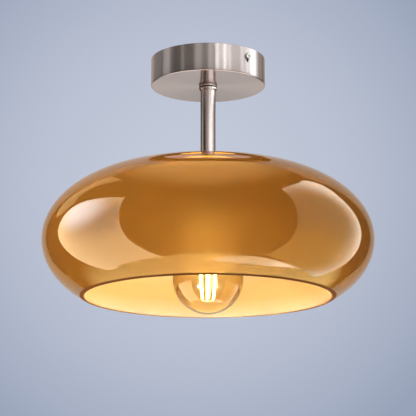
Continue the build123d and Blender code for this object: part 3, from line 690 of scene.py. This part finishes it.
def card(name, middle, along, rising, outline, corners, plain_glow, patches=()):
    """A glowing sheet that only the glass reflects: an outline about its middle, in metres along its
    two directions, curved but for the points numbered as corners."""
    curve = bpy.data.curves.new(name, "CURVE")
    curve.dimensions = "2D"
    curve.fill_mode = "BOTH"
    spline = curve.splines.new("BEZIER")
    spline.bezier_points.add(len(outline) - 1)
    for number, (point, place) in enumerate(zip(spline.bezier_points, outline)):
        point.co = (*place, 0)
        point.handle_left_type = point.handle_right_type = "VECTOR" if number in corners else "AUTO"
    spline.use_cyclic_u = True
    drawn = bpy.data.objects.new(name, curve)
    scene.collection.objects.link(drawn)
    data = bpy.data.meshes.new_from_object(drawn.evaluated_get(bpy.context.evaluated_depsgraph_get()))
    bpy.data.objects.remove(drawn)
    sheet = bpy.data.objects.new(name, data)
    scene.collection.objects.link(sheet)
    sheet.matrix_world = Matrix.Translation(middle) @ Matrix(
        (along, rising, along.cross(rising))).transposed().to_4x4()
    for ray in ("camera", "diffuse", "transmission", "shadow", "volume_scatter"):
        setattr(sheet, "visible_" + ray, False)
    sheet.light_linking.receiver_collection = glass_pieces
    material = bpy.data.materials.new(name)
    material.use_nodes = True
    tree = material.node_tree
    tree.nodes.clear()
    place = tree.nodes.new("ShaderNodeTexCoord").outputs["Object"]
    glow = plain_glow
    for spot, near, far, patch_glow, squeeze in patches:
        shift = (-spot[0] * squeeze[0], -spot[1] * squeeze[1], 0)
        moved = reckoned(tree, "MULTIPLY_ADD", place, (*squeeze, 0), shift, kind="ShaderNodeVectorMath")
        away = reckoned(tree, "LENGTH", moved.outputs["Vector"], kind="ShaderNodeVectorMath")
        fading = ranged(tree, away.outputs["Value"], 0, 1, near, far, curve="SMOOTHSTEP")
        glow = mixed(tree, fading, patch_glow, glow)
    emission = node_of(tree, "ShaderNodeEmission", Color=glow)
    node_of(tree, "ShaderNodeOutputMaterial", Surface=emission.outputs[0])
    data.materials.append(material)


card("left_card", equator - camera_right * side_reach, towards_camera, up,
     outline=[(0.68, 0.83), (0.74, 0.02), (0.60, -1.11), (0.25, -3.23), (-0.88, -1.53), (-0.57, -0.52),
              (-0.50, 0.20), (-0.29, 0.60), (0.12, 0.76)],
     corners=(0, 3, 4), plain_glow=(7.9, 5.8, 3.0),
     patches=[patch((0.45, 0.1), 0.1, 1.0, glow=(2.5, 2.6, 2.1)),
              patch((0, 0.38), 0.1, 0.6, glow=(9.6, 9.9, 9.8))])
card("right_card", equator + camera_right * side_reach, towards_camera, up,
     outline=[(0.61, 1.39), (0.70, 0.60), (0.73, 0.02), (0.54, -1.02), (0.25, -2.33), (-0.38, -1.81),
              (-1.38, -1.48), (-0.90, -0.61), (-0.66, 0.15), (-0.60, 0.70), (-0.71, 1.62), (-0.07, 1.56)],
     corners=(0, 4, 6), plain_glow=(5.6, 4.9, 3.8),
     patches=[patch((0.3, 0.1), 0.45, 1.05, glow=(1.75, 1.4, 0.75), squeeze=(1, 0.6)),
              patch((0.1, -1.4), 0.7, 1.6, glow=(3.3, 2.0, 0.55))])
card("upper_left_card", equator - camera_right * side_reach, towards_camera, up,
     outline=[(-0.75, 0.45), (-0.98, 0.8), (-1.0, 1.3), (-1.08, 1.9), (-0.6, 2.3), (-0.33, 1.75),
              (-0.56, 1.35), (-0.58, 1.0), (-0.45, 0.62)],
     corners=(), plain_glow=(1.8, 1.25, 0.55))
card("band_card", equator - up * band_drop, camera_right, towards_camera,
     outline=[(0.16, 0.26), (0.38, 0.25), (0.63, 0.16), (0.84, -0.16), (1.05, -0.68), (0.80, -0.41),
              (0.54, -0.18), (0.30, -0.01), (0.05, 0.14)],
     corners=(4,), plain_glow=(8.0, 6.2, 3.6),
     patches=[patch((0.84, -0.3), 0.05, 0.35, glow=(11, 9.4, 6.4))])
floor_card_half = [(0.32, 0.43), (0.62, 0.21), (0.94, -0.13), (1.2, -0.5), (3.2, -1.0), (3.2, -4.5)]
card("floor_card", equator - up * floor_card_drop, camera_right, towards_camera,
     outline=[(0, 0.47)] + floor_card_half + [(-x, y) for x, y in reversed(floor_card_half)],
     corners=(5, 6, 7, 8), plain_glow=(0.5, 0.2, 0.03),
     patches=[patch((0.4, -0.7), 1.3, 2.8, glow=(4.0, 2.8, 0.95), squeeze=(1, 0.75))])
card("top_card", equator + up * top_card_rise, camera_right, towards_camera,
     outline=[(-0.9, -0.75), (0.9, -0.75), (1.05, 1.0), (0.6, 1.75), (-0.6, 1.75), (-1.05, 1.0)],
     corners=range(6), plain_glow=unlit,
     patches=[patch((-0.05, 0), 0.4, 1.6, glow=(2.9, 1.65, 0.58), squeeze=(1.6, 1))])
card("flag", flag_place, camera_right, towards_camera,
     outline=[(flag_radius * cos(radians(turn)), flag_radius * sin(radians(turn)))
              for turn in range(0, 360, 30)],
     corners=(), plain_glow=unlit)

# ---- the strips that the metal mirrors -------------------------------------------------------
# Tall narrow lights round the lamp's front and sides give the canopy and the stem their upright
# stripes. Each is given by its bearing from the camera, positive to the right, by its width, both
# in degrees, and by its radiance.
strip_distance = 0.8
strip_height = 0.1
strip_tall = 3.6
strip_colour = (1, 0.97, 0.95)
bright_strip_colour = (0.96, 0.985, 1.0)
canopy_strips = [
    (-126, 48, 0.25), (-88.5, 20, 0.52), (-72, 10, 0.14), (-60, 12, 0.12), (-50, 5, 0.42),
    (-36, 20, 0.14), (-19, 14, 0.48), (-5, 14, 0.26), (6, 10, 0.62), (17.5, 7, 1.68), (25, 7, 0.95),
    (32.5, 6, 2.10), (38.5, 5, 0.95), (42.5, 4, 1.45), (54, 19, 0.82), (68.5, 7, 1.35), (75, 6, 0.90),
    (81, 4.5, 1.80), (86, 5, 1.0), (99, 19, 2.4), (112, 6, 0.90), (125, 22, 0.38)]
stem_strips = [
    (-99, 24, 0.50), (-78, 18, 0.20), (-27, 16, 0.30), (-12, 14, 0.42), (3, 14, 0.75), (18, 14, 1.55),
    (34, 16, 2.05), (50, 16, 1.85), (67, 16, 1.9), (86, 16, 1.0), (109, 24, 0.5)]


def strip(name, place, facing, across, width, tall, radiance, colour, receivers,
          hidden_from=("camera", "diffuse", "transmission"), shape="RECTANGLE"):
    """A flat light with an even radiance over its face."""
    light = bpy.data.lights.new(name, "AREA")
    light.shape = shape
    light.size = width
    light.size_y = tall
    light.energy = radiance * pi * width * tall
    light.color = colour
    light_object = hang_light(light, hidden_from, receivers)
    light_object.matrix_world = Matrix.Translation(place) @ Matrix(
        (across, across.cross(facing), -facing)).transposed().to_4x4()


def bearing_of(degrees):
    """The direction outwards at a bearing from the camera."""
    return towards_camera * cos(radians(degrees)) + camera_right * sin(radians(degrees))


for strips, receivers in ((canopy_strips, canopy_pieces), (stem_strips, stem_pieces)):
    for bearing, width, radiance in strips:
        outwards = bearing_of(bearing)
        strip(f"{receivers.name}_strip_{bearing}", outwards * strip_distance + up * strip_height,
              -outwards, up.cross(outwards), 2 * strip_distance * tan(radians(width / 2)), strip_tall,
              radiance, bright_strip_colour if radiance > 1 else strip_colour, receivers)

# ---- the small lights under the canopy -------------------------------------------------------
# Two short strips light the stem's top end, a square one the canopy's underside and edge, and
# two warm oval ones are mirrored in the dished top of the shade.
under_canopy = canopy_underside - 0.001
stem_top_reach = 0.042
stem_top_length = 0.06
edge_light_drop = 0.085
edge_light_side = 0.22
oval_depth = 0.024
oval_radiance = 4.0
oval_colour = (1, 0.47, 0.06)
for bearing, width, radiance in ((66, 0.013, 2.8), (96, 0.014, 0.8)):
    outwards = bearing_of(bearing)
    strip(f"stem_top_strip_{bearing}", outwards * stem_top_reach + up * under_canopy, -up,
          up.cross(outwards), width, stem_top_length, radiance, strip_colour, stem_pieces)
strip("canopy_edge_strip", up * (canopy_underside - edge_light_drop), up, camera_right,
      edge_light_side, edge_light_side, 1.1, strip_colour, canopy_pieces)
for name, forward, width in (("near_oval", 0.045, 0.072), ("far_oval", -0.03, 0.08)):
    strip(name, towards_camera * forward + up * under_canopy, -up, camera_right, width, oval_depth,
          oval_radiance, oval_colour, glass_pieces, shape="ELLIPSE")

# ---- the key light ---------------------------------------------------------------------------
# One large soft light from the left. It lights the lamp and the floor but shows in no
# reflection.
key_left = 2.6
key_rise = 0.2
key_forward = 0.7
key_aim_drop = 0.3
key_side = 1.6
key_radiance = 4.9
key_facing = (camera_right * key_left - up * key_aim_drop - towards_camera * key_forward).normalized()
strip("key_light", camera_right * -key_left + up * key_rise + towards_camera * key_forward, key_facing,
      key_facing.cross(up).normalized(), key_side, key_side, key_radiance, (1, 1, 1), None,
      hidden_from=("camera", "glossy", "transmission"))

# ---- the surround ----------------------------------------------------------------------------
# The camera sees a blue-grey backdrop, palest behind the lamp. Reflections see a warm wall there
# that ends in the dark at each side, and all else is lit by an even pale grey.
bright_spot_shift = 0.010
backdrop_spread = radians(9.6)
backdrop_pale = (0.545, 0.590, 0.70)
backdrop_dark = (0.315, 0.365, 0.485)
wall_middle = (0.59, 0.57, 0.56)
wall_side = (0.49, 0.385, 0.26)
wall_side_low = (0.85, 0.52, 0.22)
wall_side_high = (1.0, 0.65, 0.3)
wall_edge = tan(radians(32))
wall_edge_fade = 0.01
wall_lean = 0.35
least_share = 0.001
past_the_wall = (0.05, 0.04, 0.03)
room_light = (0.71, 0.72, 0.76)
world = bpy.data.worlds.new("surround")
scene.world = world
world.use_nodes = True
tree = world.node_tree
ray_direction = tree.nodes.new("ShaderNodeTexCoord").outputs["Generated"]


def share_along(direction):
    """How far the ray points along a direction."""
    along = reckoned(tree, "DOT_PRODUCT", ray_direction, direction, kind="ShaderNodeVectorMath")
    return along.outputs["Value"]


def blend_of(value, start, end, low, high):
    """Colours from low to high as the value goes from start to end."""
    return mixed(tree, ranged(tree, value, 0, 1, start, end), low, high)


bright_spot = (view_direction - camera_right * bright_spot_shift + up * bright_spot_shift).normalized()
backdrop = blend_of(share_along(bright_spot), cos(backdrop_spread), 1, backdrop_dark, backdrop_pale)
sideways = reckoned(tree, "ABSOLUTE", share_along(camera_right)).outputs[0]
behind = reckoned(tree, "MAXIMUM", share_along(up * wall_lean - towards_camera), least_share).outputs[0]
aslant = reckoned(tree, "DIVIDE", sideways, behind).outputs[0]
height = share_along(up)
side = blend_of(height, 0.35, 0.85, blend_of(height, -0.2, 0.1, wall_side_low, wall_side), wall_side_high)
wall = blend_of(aslant, 0, wall_edge, wall_middle, side)
mirrored = blend_of(aslant, wall_edge - wall_edge_fade, wall_edge + wall_edge_fade, wall, past_the_wall)
path = tree.nodes.new("ShaderNodeLightPath")
unseen = mixed(tree, path.outputs["Is Glossy Ray"], room_light, mirrored)
surround = mixed(tree, path.outputs["Is Camera Ray"], unseen, backdrop)
feed(tree, tree.nodes["Background"].inputs["Color"], surround)
